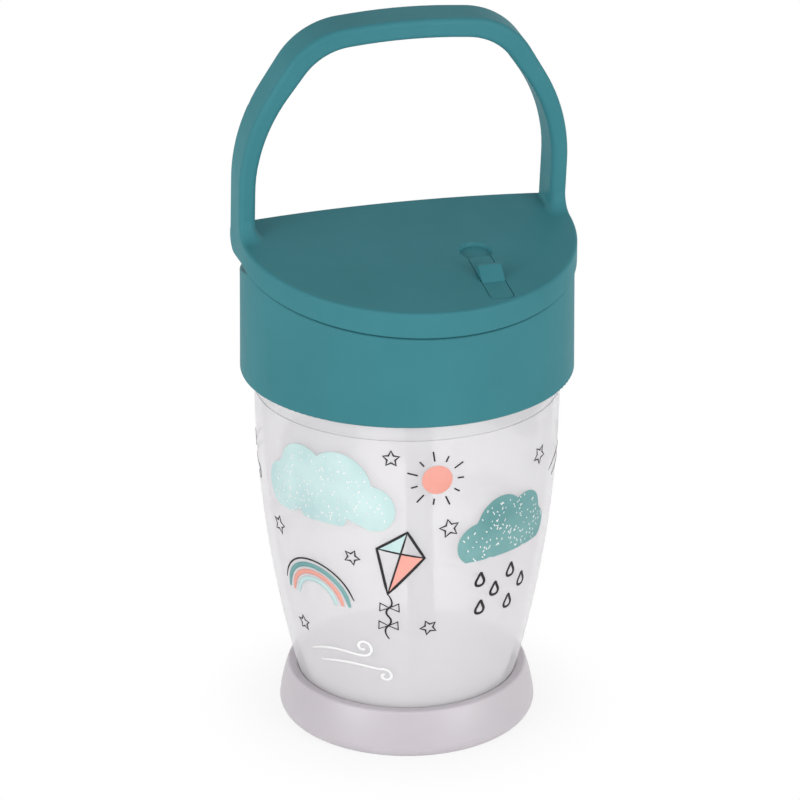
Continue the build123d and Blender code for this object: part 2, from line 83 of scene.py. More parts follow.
view_back = toward_camera(CAMERA_TURN, CAMERA_PITCH)
camera_data = bpy.data.cameras.new("camera")
camera_data.sensor_width = SENSOR_WIDTH
camera_data.lens = LENS
camera = bpy.data.objects.new("camera", camera_data)
bpy.context.scene.collection.objects.link(camera)
camera.location = CAMERA_TARGET + view_back * CAMERA_DISTANCE
camera.rotation_euler = view_back.to_track_quat("Z", "Y").to_euler()
bpy.context.scene.camera = camera
bpy.context.scene.view_settings.view_transform = "Standard"
print("camera at", [round(v, 3) for v in camera.location])

# %% [markdown]
# A material is a small network of nodes. Every finish here starts with a Principled shader and a noise.
# The noise could read generated or UV coordinates, but those stretch from piece to piece. It reads
# Object coordinates, which are real lengths and stay fixed to the piece when it moves.

# %% A material and its noise


def start_material(name):
    """A new material, its node tree and its Principled shader."""
    material = bpy.data.materials.new(name)
    material.use_nodes = True
    return material, material.node_tree, material.node_tree.nodes["Principled BSDF"]


def add_noise(tree, scale, detail=3.0):
    """Noise in object space. The scale is in bumps per metre."""
    place = tree.nodes.new("ShaderNodeTexCoord")
    noise = tree.nodes.new("ShaderNodeTexNoise")
    noise.inputs["Scale"].default_value = scale
    noise.inputs["Detail"].default_value = detail
    tree.links.new(place.outputs["Object"], noise.inputs["Vector"])
    return noise.outputs["Fac"]


print("bumps 20 mm wide need a noise of scale", round(1 / (20 * MM)))

# %% [markdown]
# A noise is only a value from 0 to 1. A colour ramp turns it into a slight change of colour, a Map Range
# node into one of roughness, and a Bump node tilts the light as if the surface had a fine grain.

# %% What a noise can move
DRIFT_SPAN = (0.3, 0.7)
GRAIN_DEPTH = 0.04 * MM


def vary_color(tree, shader, value, dark, light):
    """Lets a value within DRIFT_SPAN, where most of a noise lies, move the colour from dark to light."""
    ramp = tree.nodes.new("ShaderNodeValToRGB")
    for stop, position, color in zip(ramp.color_ramp.elements, DRIFT_SPAN, (dark, light)):
        stop.position = position
        stop.color = (*color, 1)
    tree.links.new(value, ramp.inputs["Fac"])
    tree.links.new(ramp.outputs["Color"], shader.inputs["Base Color"])


def vary_roughness(tree, shader, value, low, high):
    """Lets a value from 0 to 1 move the roughness from low to high."""
    spread = tree.nodes.new("ShaderNodeMapRange")
    spread.inputs["To Min"].default_value = low
    spread.inputs["To Max"].default_value = high
    tree.links.new(value, spread.inputs["Value"])
    tree.links.new(spread.outputs["Result"], shader.inputs["Roughness"])


def add_bump(tree, shader, value, strength):
    """Lets a value raise the surface by up to GRAIN_DEPTH, for the light only."""
    bump = tree.nodes.new("ShaderNodeBump")
    bump.inputs["Strength"].default_value = strength
    bump.inputs["Distance"].default_value = GRAIN_DEPTH
    tree.links.new(value, bump.inputs["Height"])
    tree.links.new(bump.outputs["Normal"], shader.inputs["Normal"])


print("the grain is at most", GRAIN_DEPTH / MM, "mm deep")

# %% [markdown]
# Moulded plastic isn't a flat colour: the pigment drifts a little, wear changes the roughness from place
# to place, and the spark-eroded mould leaves a very fine grain. Three noises of different size give these
# three effects, so each finish names three scales. Pale plastics also scatter light under their surface.

# %% Moulded plastic
GRAIN_DETAIL = 2


def moulded_plastic(name, colors, roughness, scales, grain):
    """A plastic with noises of three scales: for its colour, its roughness and its grain."""
    material, tree, shader = start_material(name)
    color_scale, roughness_scale, grain_scale = scales
    vary_color(tree, shader, add_noise(tree, color_scale), *colors)
    vary_roughness(tree, shader, add_noise(tree, roughness_scale), *roughness)
    add_bump(tree, shader, add_noise(tree, grain_scale, GRAIN_DETAIL), grain)
    return material, shader


def scatter(shader, weight, depth, reach):
    """Lets light go in and come out again nearby. The reach is how far red, green and blue get."""
    shader.inputs["Subsurface Weight"].default_value = weight
    shader.inputs["Subsurface Scale"].default_value = depth
    shader.inputs["Subsurface Radius"].default_value = reach


def dress(node, material):
    """Gives a CAD part a finish. Its shape is left alone."""
    part = frame["nodes"][node]
    part.data.materials.clear()
    part.data.materials.append(material)
    print(node, "is finished in", material.name)


print("nodes to dress:", ", ".join(frame["nodes"]))

# %% [markdown]
# The lid, its hood, the handle and the slider are moulded in one teal plastic with a dull satin finish.
# It mirrors only weakly, because a stronger shine would turn the sloping hood white from behind.

# %% Teal moulded plastic
TEAL = ((0.041, 0.193, 0.223), (0.047, 0.210, 0.242))
TEAL_ROUGHNESS = (0.48, 0.58)
TEAL_NOISES = (45, 260, 4200)
TEAL_GRAIN = 0.10
TEAL_SHINE = 0.10

teal, shader = moulded_plastic("teal_plastic", TEAL, TEAL_ROUGHNESS, TEAL_NOISES, TEAL_GRAIN)
shader.inputs["Specular IOR Level"].default_value = TEAL_SHINE
for node in ("lid_collar", "flip_hood", "lock_slider", "latch_bolt"):
    dress(node, teal)

# %% [markdown]
# The cup is frosted polypropylene: light goes in, scatters and comes out again, and the straw inside
# shows only as a soft shade. Real glass shaders are slow and noisy here, so the wall is a pale plastic
# that scatters a little under its surface and lets part of the view through with Alpha. A view through
# the wall passes two faces, so each of them lets more through than the whole wall does.

# %% Frosted cup plastic
CUP_PALE = ((0.905, 0.882, 0.909), (0.930, 0.912, 0.933))
CUP_ROUGHNESS = (0.42, 0.54)
CUP_NOISES = (30, 300, 3600)
CUP_GRAIN = 0.08
CUP_SCATTER = 0.25
CUP_SCATTER_DEPTH = 2 * MM
CUP_ALPHA = 0.52
LILAC_REACH = (1.0, 0.9, 0.95)

frosted, shader = moulded_plastic("frosted_plastic", CUP_PALE, CUP_ROUGHNESS, CUP_NOISES, CUP_GRAIN)
scatter(shader, CUP_SCATTER, CUP_SCATTER_DEPTH, LILAC_REACH)
shader.inputs["Alpha"].default_value = CUP_ALPHA
dress("cup_body", frosted)

# %% [markdown]
# The foot is a softer, milky plastic with a hint of lilac, denser than the cup and a little glossier
# where hands have rubbed it.

# %% Milky foot plastic
FOOT_LILAC = ((0.520, 0.487, 0.520), (0.560, 0.530, 0.558))
FOOT_ROUGHNESS = (0.34, 0.48)
FOOT_NOISES = (38, 220, 3000)
FOOT_GRAIN = 0.08
FOOT_SCATTER = 0.35
FOOT_SCATTER_DEPTH = 3 * MM

milky, shader = moulded_plastic("milky_plastic", FOOT_LILAC, FOOT_ROUGHNESS, FOOT_NOISES, FOOT_GRAIN)
scatter(shader, FOOT_SCATTER, FOOT_SCATTER_DEPTH, LILAC_REACH)
dress("foot_ring", milky)

# %% [markdown]
# Spout, straw, seal and vent are silicone. Clear silicone looks like pale smoke with a soft shine, and
# the white one is chalky. The straw's is a darker copy of the clear one, which is painted shade: it stands
# for the shade the straw makes behind the frosted wall, where it would vanish otherwise. All of them pick
# up fine lint, which the roughness noise stands for.

# %% Silicone
CLEAR_SILICONE = ((0.52, 0.51, 0.53), (0.60, 0.59, 0.60))
# The straw's darker colours are painted shade, for the shade the straw makes behind the frosted wall.
STRAW_SILICONE_PAINTED_SHADE = ((0.29, 0.28, 0.30), (0.36, 0.35, 0.37))
WHITE_SILICONE = ((0.76, 0.76, 0.75), (0.82, 0.82, 0.81))
CLEAR_ALPHA = 0.85
STRAW_ALPHA = 0.9
WHITE_ALPHA = 1.0
SILICONE_DRIFT_SCALE = 60
SILICONE_LINT_SCALE = 500
SILICONE_ROUGHNESS = (0.30, 0.46)
SILICONE_SCATTER = 0.3
SILICONE_SCATTER_DEPTH = 2 * MM
SILICONE_REACH = (1.0, 0.2, 0.1)


def silicone(name, colors, alpha):
    material, tree, shader = start_material(name)
    vary_color(tree, shader, add_noise(tree, SILICONE_DRIFT_SCALE), *colors)
    vary_roughness(tree, shader, add_noise(tree, SILICONE_LINT_SCALE), *SILICONE_ROUGHNESS)
    scatter(shader, SILICONE_SCATTER, SILICONE_SCATTER_DEPTH, SILICONE_REACH)
    shader.inputs["Alpha"].default_value = alpha
    return material


clear_silicone = silicone("clear_silicone", CLEAR_SILICONE, CLEAR_ALPHA)
white_silicone = silicone("white_silicone", WHITE_SILICONE, WHITE_ALPHA)
for node in ("spout_root", "spout_tip"):
    dress(node, clear_silicone)
# The straw gets the darker silicone, whose colour is painted shade.
dress("straw_tube", silicone("straw_silicone_painted_shade", STRAW_SILICONE_PAINTED_SHADE, STRAW_ALPHA))
for node in ("lid_gasket", "vent_valve"):
    dress(node, white_silicone)

# %% [markdown]
# The new pieces are modelled with the same few operators that a hand would use. An operator acts on all
# that is selected, so these helpers take care of the selection, and of the end of each piece: doubled
# points are merged, the faces turned outwards and the soft edges smoothed.

# %% Modelling helpers
MERGE_DISTANCE = 0.005 * MM
SMOOTH_BELOW = 35
SMOOTH_BELOW_WIDE = 50


def deselect_all():
    bpy.ops.object.select_all(action="DESELECT")


def pick(piece):
    """Makes a piece the only selected one and the active one."""
    deselect_all()
    piece.select_set(True)
    bpy.context.view_layer.objects.active = piece


def edit_all():
    """Edit mode, with everything in the mesh selected."""
    bpy.ops.object.mode_set(mode="EDIT")
    bpy.ops.mesh.select_all(action="SELECT")


def end_edit():
    bpy.ops.object.mode_set(mode="OBJECT")


def fill_holes(most_sides):
    """Closes the open ends of the active mesh. A limit of 0 sides is no limit."""
    edit_all()
    bpy.ops.mesh.fill_holes(sides=most_sides)
    end_edit()


def settle(piece, angle=SMOOTH_BELOW):
    """Moves a piece's place into its mesh, merges, turns the faces outwards and smooths below an angle."""
    pick(piece)
    bpy.ops.object.transform_apply(location=True, rotation=True, scale=True)
    edit_all()
    bpy.ops.mesh.remove_doubles(threshold=MERGE_DISTANCE)
    bpy.ops.mesh.normals_make_consistent(inside=False)
    end_edit()
    bpy.ops.object.shade_smooth_by_angle(angle=math.radians(angle))


print("points closer than", MERGE_DISTANCE / MM, "mm are merged")

# %% [markdown]
# The spout of such a cup is one soft silicone tube: it stands in a sleeve on the lid, bends forward at a
# pinched elbow and ends in a swollen lip. A tube of changing width and direction is a row of rings. So a
# first ring is extruded to the next place, turned and scaled, and so on. Every ring here lies across the
# bend and is given by two points, its inner and its outer one. At the elbow all rings share one inner
# point, which is the pinch, while their outer points run round a ball.

# %% Rings that are extruded into a tube


def ring_across(inner, outer):
    """Centre, radius and tilt of the ring that spans two points, each given as (depth, height)."""
    span = outer - inner
    middle = (inner + outer) / 2
    return Vector((0, middle.x, middle.y)), span.length / 2, math.atan2(span.y, span.x)


def extrude_rings(name, rings, corners):
    """A closed tube through rings of (centre, radius, tilt)."""
    deselect_all()
    centre, radius, tilt = rings[0]
    bpy.ops.mesh.primitive_circle_add(
        vertices=corners, radius=radius, fill_type="NGON", location=centre, rotation=(tilt, 0, 0))
    tube = bpy.context.object
    tube.name = name
    edit_all()
    for before, after in zip(rings, rings[1:]):
        bpy.ops.mesh.extrude_region_move(TRANSFORM_OT_translate={"value": after[0] - before[0]})
        bpy.ops.transform.rotate(value=before[2] - after[2], orient_axis="X", center_override=after[0])
        bpy.ops.transform.resize(value=(after[1] / before[1],) * 3, center_override=after[0])
    end_edit()
    settle(tube)
    return tube


print("a ring across 10 mm has the radius", ring_across(Vector((0, 0)), Vector((10, 0)))[1], "mm")

# %% [markdown]
# All places on the spout are (depth, height) in millimetres from the elbow. The column's rings are pairs
# of an inner and an outer point, the nozzle's first rings are a distance with the reach inwards and
# outwards, and from there on the nozzle is round. The lip's profile turns back into the bore, so that
# the tube looks hollow.

# %% Soft spout
ELBOW = (-9.5, 117.6)
COLUMN_R = 4.4
COLUMN_RINGS = [((-4.4, -6.6), (4.4, -6.6)), ((-4.3, -5.2), (4.4, -4.6)), ((-3.7, -4.0), (4.4, -2.4))]
PINCH = (-3.1, -3.1)
ELBOW_STEPS = 10
NOZZLE_START_R = 4.1
NOZZLE_TILT = math.radians(3)
NOZZLE_RINGS = [(2.2, 3.5, 4.05), (4.2, 4.0, 3.95), (6.0, 3.95, 3.95)]
NOZZLE_PROFILE = [
    (8.0, 4.05), (11.0, 4.2), (15.0, 4.4), (18.5, 4.65), (22.0, 4.9), (23.8, 4.86), (25.0, 4.6)]
LIP_PROFILE = [(25.7, 4.0), (26.0, 3.3), (25.95, 2.5), (25.5, 1.95), (24.5, 1.8), (14.0, 1.8)]
SPOUT_CORNERS = 40


def spout_rings():
    along = Vector((-math.cos(NOZZLE_TILT), math.sin(NOZZLE_TILT)))
    across = Vector((math.sin(NOZZLE_TILT), math.cos(NOZZLE_TILT)))
    pairs = [(Vector(inner), Vector(outer)) for inner, outer in COLUMN_RINGS]
    for step in range(ELBOW_STEPS + 1):
        share = step / ELBOW_STEPS
        angle = share * (math.pi / 2 - NOZZLE_TILT)
        reach = COLUMN_R + (NOZZLE_START_R - COLUMN_R) * share
        pairs.append((Vector(PINCH), Vector((math.cos(angle), math.sin(angle))) * reach))
    for distance, inside, outside in NOZZLE_RINGS:
        pairs.append((along * distance - across * inside, along * distance + across * outside))
    for distance, radius in NOZZLE_PROFILE + LIP_PROFILE:
        pairs.append((along * distance - across * radius, along * distance + across * radius))
    start = Vector(ELBOW)
    return [ring_across((start + inner) * MM, (start + outer) * MM) for inner, outer in pairs]


spout = extrude_rings("soft_spout", spout_rings(), SPOUT_CORNERS)
spout.data.materials.append(clear_silicone)
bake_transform(spout)
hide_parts("spout_tip")
print("soft_spout has", len(spout.data.polygons), "faces")

# %% [markdown]
# The handle's legs grow out of the hood in a soft curve. The solid has only a small one, so each leg
# gets a root of its own, which has to meet the plate exactly. So first comes the plate's height under
# any place. The plate slopes to the front, is crowned a little and is rounded at its rim, which is flush
# with the legs' outer faces. The leg leans, and heights are measured along it: a few rounds of correction
# find where it meets the plate.

# %% The plate under the legs
LEG_OUT_X = 43.2
LEG_LEAN = math.radians(6.5)
PLATE_SLOPE = math.radians(10.2)
PLATE_BACK = Vector((0, 12.6, 136.97))
PLATE_CROWN_R = 1600.0
PLATE_EDGE_R = 0.8
PLATE_ROUNDS = 4
leg_forward = Vector((0, -math.cos(LEG_LEAN), -math.sin(LEG_LEAN)))
leg_up = Vector((0, -math.sin(LEG_LEAN), math.cos(LEG_LEAN)))


def plate_height(across, depth):
    """The height of the plate's top over PLATE_BACK, measured along the leg. In front it is negative."""
    up = 0.0
    for _ in range(PLATE_ROUNDS):
        place = PLATE_BACK + leg_forward * depth + leg_up * up
        beyond = max(0.0, math.hypot(across, min(0.0, place.y)) - (LEG_OUT_X - PLATE_EDGE_R))
        rounding = PLATE_EDGE_R - math.sqrt(max(0.0, PLATE_EDGE_R**2 - beyond**2))
        top = PLATE_BACK.z + (place.y - PLATE_BACK.y) * math.tan(PLATE_SLOPE)
        up += top - across**2 / (2 * PLATE_CROWN_R) - rounding - place.z
    return up


print("10 mm in front of the leg's back the plate lies at", round(plate_height(0, 10), 2), "mm")

# %% [markdown]
# A root is a concave skirt that starts flush on the leg, sweeps out and ends flush on the plate. Bevelling
# the joint would need one mesh of leg and plate, so the skirt is a piece of its own. A grid is the start.
# One of its directions runs round the leg's foot, from the back of its inner face to its outer edge, and
# the other runs down the curve and back inside the plastic, so that the grid closes into a tube. The
# curve is narrow on the leg's inner face and wide in front.

# %% Roots of the handle
LEG_IN_X = 38.9
LEG_DEPTH = 10.4
LEG_EDGE_R = 1.3
ROOT_FROM = 2.9
SIDE_ROOT_R = 1.3
FRONT_ROOT_R = 4.7
ROOT_SINK = 0.3
ROOT_STEPS = 10
SIDE_STEPS = 4
CORNER_STEPS = 8
OUTER_STEPS = 9
OUTER_GAP = 0.02


def footprint():
    """Places round the leg's foot: (across, depth, outward direction, radius of the root there)."""
    low_x, high_x, front = LEG_IN_X + LEG_EDGE_R, LEG_OUT_X - LEG_EDGE_R, LEG_DEPTH - LEG_EDGE_R
    places = []
    for k in range(SIDE_STEPS):
        depth = ROOT_FROM + (front - ROOT_FROM) * k / SIDE_STEPS
        places.append((LEG_IN_X, depth, (-1, 0), SIDE_ROOT_R))
    for k in range(CORNER_STEPS + 1):
        turn = math.pi / 2 * k / CORNER_STEPS
        out = (-math.cos(turn), math.sin(turn))
        share = (1 - math.cos(2 * turn)) / 2
        radius = SIDE_ROOT_R + (FRONT_ROOT_R - SIDE_ROOT_R) * share
        places.append((low_x + out[0] * LEG_EDGE_R, front + out[1] * LEG_EDGE_R, out, radius))
    for k in range(1, OUTER_STEPS + 1):
        turn = math.pi / 2 * k / OUTER_STEPS
        across = high_x + math.sin(turn) * (LEG_EDGE_R - OUTER_GAP)
        places.append((across, front + math.cos(turn) * LEG_EDGE_R, (0, 1), FRONT_ROOT_R))
    return places


def root_outline(radius):
    """The root's outline as (out, up): down the curve, then back inside the plastic."""
    turns = [math.pi / 2 * k / ROOT_STEPS for k in range(ROOT_STEPS + 1)]
    curve = [(radius * (1 - math.cos(turn)), radius * (1 - math.sin(turn))) for turn in turns]
    return curve + [(radius, -ROOT_SINK), (-ROOT_SINK, -ROOT_SINK), (-ROOT_SINK, radius), curve[0]]


def leg_root(name, side):
    """One root, on the left for side -1 and on the right for side 1."""
    places = footprint()
    columns = len(root_outline(FRONT_ROOT_R))
    deselect_all()
    bpy.ops.mesh.primitive_grid_add(x_subdivisions=columns - 1, y_subdivisions=len(places) - 1)
    root = bpy.context.object
    root.name = name
    for k, (across, depth, out, radius) in enumerate(places):
        for j, (away, up) in enumerate(root_outline(radius)):
            x, d = across + out[0] * away, depth + out[1] * away
            place = PLATE_BACK + leg_forward * d + leg_up * (plate_height(x, d) + up)
            root.data.vertices[k * columns + j].co = Vector((side * x, place.y, place.z)) * MM
    settle(root)
    fill_holes(most_sides=0)
    settle(root, SMOOTH_BELOW_WIDE)
    root.data.materials.append(teal)
    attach(root, "hood")
    print(name, "has", len(root.data.polygons), "faces")


leg_root("left_leg_root", -1)
leg_root("right_leg_root", 1)

# %% [markdown]
# Cup and collar screw together. The thread is a ridge that climbs once and a quarter round the neck, and
# a second one inside the collar. The Screw modifier turns a small closed outline round the axis while it
# lifts it, which is just what a thread is. At both ends a real thread runs out into the wall, so that it
# starts easily, and here the crest sinks into the wall there.

# %% Screw threads
THREAD_PITCH = 4.0
THREAD_TURNS = 1.25
THREAD_STEPS = 72
THREAD_SINK = 0.3
THREAD_RUN_OUT = 0.12
ROOT_HALF = 0.95
CREST_HALF = 0.35
OUTLINE_CORNERS = 4


def thread(name, wall_r, crest_r, low_z, start, body, finish):
    """A ridge on a round wall. Its crest may lie outside the wall or inside it."""
    deselect_all()
    bpy.ops.mesh.primitive_plane_add(size=1, rotation=(math.pi / 2, 0, 0))
    ridge = bpy.context.object
    ridge.name = name
    bpy.ops.object.transform_apply(rotation=True)
    side = math.copysign(1, crest_r - wall_r)
    for corner in ridge.data.vertices:
        on_crest = corner.co.x > 0
        half = CREST_HALF if on_crest else ROOT_HALF
        corner.co.x = (crest_r if on_crest else wall_r - side * THREAD_SINK) * MM
        corner.co.z = (low_z + math.copysign(half, corner.co.z)) * MM
    edit_all()
    bpy.ops.mesh.delete(type="ONLY_FACE")
    end_edit()
    screw = ridge.modifiers.new("climb", "SCREW")
    screw.angle = THREAD_TURNS * TURN
    screw.screw_offset = THREAD_TURNS * THREAD_PITCH * MM
    screw.steps = screw.render_steps = THREAD_STEPS
    screw.use_smooth_shade = False
    bpy.ops.object.modifier_apply(modifier=screw.name)
    run_out(ridge, wall_r * MM, crest_r * MM, low_z * MM)
    fill_holes(OUTLINE_CORNERS)
    ridge.rotation_euler.z = start
    settle(ridge, SMOOTH_BELOW_WIDE)
    ridge.data.materials.append(finish)
    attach(ridge, body)
    print(name, "climbs", THREAD_TURNS * THREAD_PITCH, "mm")


def run_out(ridge, wall_r, crest_r, low_z):
    """Lets the crest sink into the wall at both ends of the ridge."""
    climb = THREAD_TURNS * THREAD_PITCH * MM
    for vertex in ridge.data.vertices:
        radius = math.hypot(vertex.co.x, vertex.co.y)
        if abs(radius - crest_r) > abs(radius - wall_r):
            continue
        progress = (vertex.co.z - low_z) / climb
        share = max(0.0, min(1.0, progress / THREAD_RUN_OUT, (1 - progress) / THREAD_RUN_OUT))
        stretch = (wall_r + (crest_r - wall_r) * share) / radius
        vertex.co.x *= stretch
        vertex.co.y *= stretch


thread("neck_thread", wall_r=39.0, crest_r=39.75, low_z=98.2, start=0.4,
       body="cup", finish=frosted)
thread("collar_thread", wall_r=40.4, crest_r=39.9, low_z=99.6, start=2.6,
       body="lid", finish=teal)

# %% [markdown]
# The cup is screen printed with a playful pattern, here of weather: clouds full of snow, a sun, rainbows,
# a kite, stars, raindrops and swirls of wind. Five inks are enough. Ink has no thickness to speak of, but
# a piece of its own for each ink keeps the edges sharp at any distance.

# %% Inks
INK_COLORS = {
    "teal": ((0.120, 0.300, 0.302), (0.200, 0.405, 0.400)),
    "aqua": ((0.460, 0.640, 0.645), (0.600, 0.775, 0.765)),
    "salmon": ((0.780, 0.330, 0.270), (0.840, 0.390, 0.325)),
    "black": ((0.008, 0.007, 0.008), (0.016, 0.014, 0.016)),
    "white": ((0.840, 0.840, 0.840), (0.900, 0.900, 0.900)),
}
INK_DRIFT_SCALE = 70
INK_MATT_SCALE = 900
INK_ROUGHNESS = (0.38, 0.60)
INK_SHINE = 0.3


def ink(name, colors):
    material, tree, shader = start_material(name)
    vary_color(tree, shader, add_noise(tree, INK_DRIFT_SCALE), *colors)
    vary_roughness(tree, shader, add_noise(tree, INK_MATT_SCALE), *INK_ROUGHNESS)
    shader.inputs["Specular IOR Level"].default_value = INK_SHINE
    return material


inks = {color: ink(color + "_ink", shades) for color, shades in INK_COLORS.items()}
printed = {color: [] for color in inks}
print("inks:", ", ".join(inks))

# %% [markdown]
# Each motif is drawn flat, facing the front, as if on paper: across is X, up is Z, and Y says how far the
# ink stands off the wall. Then it is wrapped on the cup. For every point a ray is cast at the wall from
# outside, which gives the radius there, and the way across becomes a way round the cup at that radius.

# %% Wrapping a flat motif on the cup
CAST_FROM = 60 * MM
cup = frame["nodes"]["cup_body"]


def wall_radius(angle, height):
    """The cup's outer radius. The angle is 0 at the front and grows to the right."""
    out = Vector((math.sin(angle), -math.cos(angle), 0))
    hit, place, _, _ = cup.ray_cast(out * CAST_FROM + Vector((0, 0, height)), -out)
    if not hit:
        raise ValueError(f"no wall at height {height}")
    return math.hypot(place.x, place.y)


def wrap(motif, turn, height):
    """Moves a flat motif to that turn and height and lays it on the wall."""
    angle = math.radians(turn)
    for vertex in motif.data.vertices:
        up = height * MM + vertex.co.z
        around = angle + vertex.co.x / wall_radius(angle, up)
        radius = wall_radius(around, up) - vertex.co.y
        vertex.co = (math.sin(around) * radius, -math.cos(around) * radius, up)


def keep(motif, color, turn, height):
    """Wraps a motif and puts it with the others of its ink."""
    pick(motif)
    bpy.ops.object.transform_apply(location=True, rotation=True, scale=True)
    wrap(motif, turn, height)
    printed[color].append(motif)


print("the wall's radius at mid height is", round(wall_radius(0, 60 * MM) / MM, 1), "mm")

# %% [markdown]
# A filled motif starts as a filled circle with as many corners as its outline has, and each corner moves
# to its place. One large flat face couldn't follow the round wall, so Bisect cuts it into squares first.
# The Solidify modifier then gives the ink its thickness.

# %% Filled shapes
FILL_FACE = 0.06
INK_THICKNESS = 0.03
STRIP = 2.0


def filled_shape(outline, color, turn, height):
    """A flat sheet of ink inside an outline of (across, up) points in millimetres."""
    deselect_all()
    bpy.ops.mesh.primitive_circle_add(vertices=len(outline), fill_type="NGON", rotation=(math.pi / 2, 0, 0))
    sheet = bpy.context.object
    bpy.ops.object.transform_apply(rotation=True)
    for corner, (across, up) in zip(sheet.data.vertices, outline):
        corner.co = (across * MM, -FILL_FACE * MM, up * MM)
    bpy.ops.object.mode_set(mode="EDIT")
    for normal, ends in zip(((1, 0, 0), (0, 0, 1)), zip(*outline)):
        cut = min(ends) + STRIP
        while cut < max(ends):
            bpy.ops.mesh.select_all(action="SELECT")
            bpy.ops.mesh.bisect(plane_co=Vector(normal) * cut * MM, plane_no=normal)
            cut += STRIP
    end_edit()
    thicken(sheet)
    keep(sheet, color, turn, height)


def thicken(sheet):
    """Gives the active sheet of ink its thickness."""
    wall = sheet.modifiers.new("ink", "SOLIDIFY")
    wall.thickness = INK_THICKNESS * MM
    wall.offset = -1
    bpy.ops.object.modifier_apply(modifier=wall.name)


print("filled shapes stand", FILL_FACE, "mm off the wall")

# %% [markdown]
# The clouds are strewn with white flecks, as if a brush had been flicked at them. Their places, lengths
# and slants are random, but the generator starts from a fixed seed, so every run draws the same flecks.
# All flecks of a cloud are added in edit mode and so become one mesh, which is far quicker than an object
# for each.

# %% Snow on the clouds
SNOW_FACE = 0.10
SNOW_WIDTH = 0.17
SNOW_STRETCH = (1.1, 3.0)
SNOW_SLANT = (-1, 1)
SNOW_CORNERS = 6
SNOW_EDGE = 0.93
SNOW_SEED = 7
randomness = random.Random(SNOW_SEED)


def inside(outline, across, up):
    """Whether a point lies in an outline round the middle, whose corners stand at even angles."""
    spot = math.atan2(up, across) % TURN / TURN * len(outline)
    edge = Vector(outline[int(spot) % len(outline)]).length
    return math.hypot(across, up) < edge


def snow(outline, count, turn, height):
    """White flecks strewn over a filled shape, each at its own slant."""
    deselect_all()
    reach = max(Vector(point).length for point in outline)
    flakes = None
    while count:
        across, up = randomness.uniform(-reach, reach), randomness.uniform(-reach, reach)
        if not inside(outline, across / SNOW_EDGE, up / SNOW_EDGE):
            continue
        count -= 1
        centre = Vector((across, -SNOW_FACE, up)) * MM
        bpy.ops.mesh.primitive_circle_add(vertices=SNOW_CORNERS, radius=SNOW_WIDTH * MM, fill_type="NGON",
                                          location=centre, rotation=(math.pi / 2, 0, 0))
        if flakes is None:
            flakes = bpy.context.object
            bpy.ops.object.transform_apply(location=True, rotation=True, scale=True)
            edit_all()
        stretch, slant = randomness.uniform(*SNOW_STRETCH), randomness.uniform(*SNOW_SLANT)
        bpy.ops.transform.resize(value=(1, 1, stretch), center_override=centre)
        bpy.ops.transform.rotate(value=slant, orient_axis="Y", center_override=centre)
    end_edit()
    thicken(flakes)
    keep(flakes, "white", turn, height)


print("flecks are", 2 * SNOW_WIDTH, "mm wide")

# %% [markdown]
# Now the motifs. Their points are millimetres from the motif's middle. A motif's turn says how far round
# the cup it sits, in degrees from the front to the right, and its height is in millimetres over the
# table. A cloud is some round puffs side by side. Its outline is found by looking from the middle in even
# directions for the farthest edge of any puff, and a base line cuts it flat below.

# %% Clouds
CLOUD_POINTS = 72
BIG_CLOUD = [(-13, -1.5, 7.0), (-6, 4.5, 8.0), (5, 4, 9.0), (13.5, -1.5, 6.5), (0, -3, 7.5)]
SMALL_CLOUD = [(-9.5, -1, 6.0), (-3, 4, 7.2), (5.5, 3, 6.6), (10, -2, 5.2), (0, -2.5, 6.5)]
BIG_BASE = -7.5
SMALL_BASE = -6.0


def on_circle(radius, angle):
    """The point (across, up) on a circle round the middle. Angles go from the right and upwards."""
    return radius * math.cos(angle), radius * math.sin(angle)


def cloud_outline(puffs, base):
    """The outer edge of puffs (across, up, radius), cut flat at the base."""
    outline = []
    for k in range(CLOUD_POINTS):
        ray = Vector(on_circle(1, TURN * k / CLOUD_POINTS))
        reach = 0.0
        for across, up, radius in puffs:
            along = ray.x * across + ray.y * up
            room = along * along - across * across - up * up + radius * radius
            if room > 0:
                reach = max(reach, along + math.sqrt(room))
        if ray.y * reach < base:
            reach = base / ray.y
        outline.append(tuple(ray * reach))
    return outline


def cloud(puffs, base, flakes, color, turn, height):
    outline = cloud_outline(puffs, base)
    filled_shape(outline, color, turn, height)
    snow(outline, flakes, turn, height)


for puffs, base in ((BIG_CLOUD, BIG_BASE), (SMALL_CLOUD, SMALL_BASE)):
    sides = [across for across, up in cloud_outline(puffs, base)]
    print("a cloud is", round(max(sides) - min(sides), 1), "mm wide")

# %% [markdown]
# A pen stroke is a curve with a thin round bevel. Its points carry a radius too, and a smaller one at both
# ends makes the stroke taper, as a pen does. The curve is converted to a mesh, which is pressed flat
# against the wall.

# %% Pen strokes
PEN = 0.85
THIN_PEN = 0.55
STROKE_FACE = 0.09
STROKE_FLATNESS = 0.05
STROKE_STEPS = 6
STROKE_ORDER = 3
STROKE_TIP = 0.55


